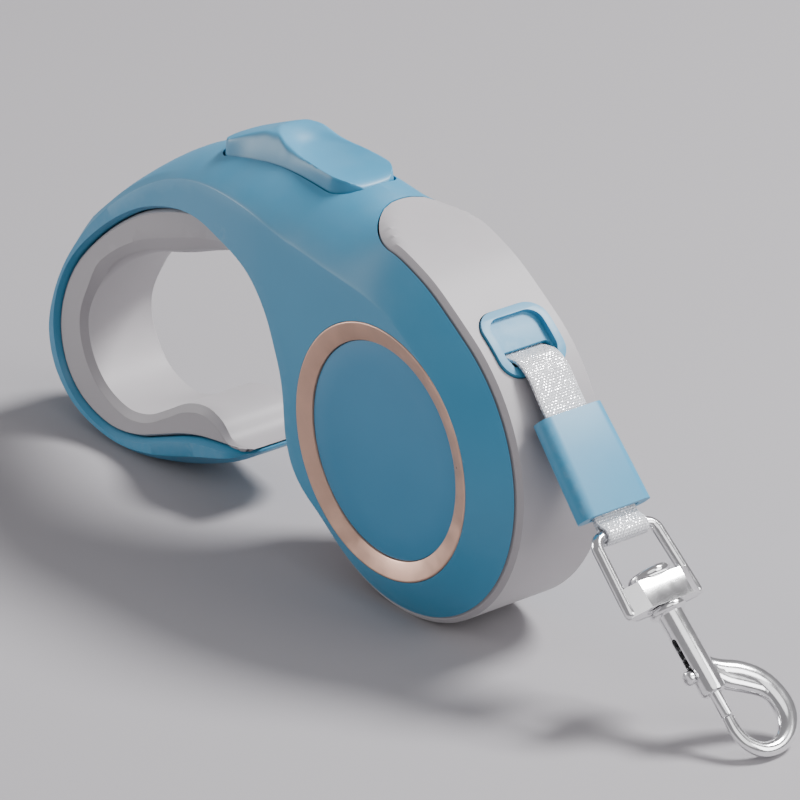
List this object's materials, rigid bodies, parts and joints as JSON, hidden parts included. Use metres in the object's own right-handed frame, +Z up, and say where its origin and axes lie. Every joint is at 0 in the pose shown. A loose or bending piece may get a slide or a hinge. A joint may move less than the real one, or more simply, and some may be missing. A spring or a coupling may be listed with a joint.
{
  "type": "retractable leash",
  "caption": "Retractable tape leash: drum housing with open hook handle, thumb brake, woven tape with sleeve and swivel bolt snap.",
  "frame": {"origin": "bottom centre of the housing's box, on the surface it stands on", "axes": "+X forward through the tape exit, +Y across the housing to its left, +Z up"},
  "size_m": [0.2516, 0.039, 0.1005],
  "materials": {
    "blue_plastic": "satin",
    "grey_soft": "satin soft touch",
    "copper_trim": "satin rose copper",
    "black_plastic": "matte",
    "steel": "drawn",
    "chrome": "polished",
    "tape": "woven, with glitter thread"
  },
  "bodies": {
    "housing": {"right_shell": "blue_plastic", "left_shell": "blue_plastic", "nose_band": "grey_soft", "grip_liner": "grey_soft", "right_ring": "copper_trim", "left_ring": "copper_trim", "right_disc": "blue_plastic", "left_disc": "blue_plastic", "nozzle_frame": "blue_plastic", "tape_guide_pin": "steel", "reel_axle": "steel", "reel_washer": "steel", "spring_cup": "black_plastic", "spring_cover": "black_plastic", "power_spring": "steel", "button_pin": "steel", "button_spring": "steel", "pawl_pin": "steel", "pawl_spring": "steel", "housing_screws": "steel"},
    "reel": {"reel_drum": "black_plastic", "reel_flange": "black_plastic", "tape_coil": "tape"},
    "button": {"brake_button": "blue_plastic"},
    "pawl": {"brake_pawl": "black_plastic"},
    "lead_end": {"tape": "tape", "tape_sleeve": "blue_plastic", "tape_tail": "tape"},
    "eye": {"swivel_eye": "chrome"},
    "hook": {"swivel_washer": "chrome", "hook_body": "chrome", "bolt_spring": "steel"},
    "bolt": {"hook_bolt": "chrome", "bolt_knob": "chrome"}
  },
  "joints": [
    {"name": "tape_pull", "type": "slide", "parent": "housing", "child": "lead_end", "axis": [1, 0, 0], "range_m": [0, 3], "stiffness_N_per_m": 1, "springref_m": -4, "deforming": ["tape"]},
    {"name": "reel_spin", "type": "hinge", "parent": "housing", "child": "reel", "pos_m": [0.0505, 0, 0.0425], "axis": [0, 1, 0], "range_deg": [0, 7875]},
    {"name": "button_press", "type": "hinge", "parent": "housing", "child": "button", "pos_m": [-0.0205, 0, 0.088], "axis": [0, 1, 0], "range_deg": [0, 3], "stiffness_Nm_per_rad": 2, "springref_deg": -3.44, "deforming": ["button_spring"]},
    {"name": "pawl_pivot", "type": "hinge", "parent": "housing", "child": "pawl", "pos_m": [0.0005, 0, 0.0795], "axis": [0, 1, 0], "range_deg": [0, 6], "stiffness_Nm_per_rad": 0.15, "springref_deg": -5.73, "deforming": ["pawl_spring"]},
    {"name": "eye_pivot", "type": "hinge", "parent": "lead_end", "child": "eye", "pos_m": [0.1129, 0, 0.0407], "axis": [0, 1, 0], "range_deg": [-80, 50]},
    {"name": "hook_swivel", "type": "hinge", "parent": "eye", "child": "hook", "pos_m": [0.12503, 0, 0.02997], "axis": [0.749, 0, -0.6626], "continuous": true},
    {"name": "bolt_slide", "type": "slide", "parent": "hook", "child": "bolt", "axis": [-0.749, 0, 0.6626], "range_m": [0, 0.0084], "stiffness_N_per_m": 250, "springref_m": -0.01, "deforming": ["bolt_spring"]}
  ],
  "couplings": [
    {"joint": "reel_spin", "follows": "tape_pull", "rad_per_m": 45.81},
    {"joint": "pawl_pivot", "follows": "button_press", "ratio": 2}
  ]
}
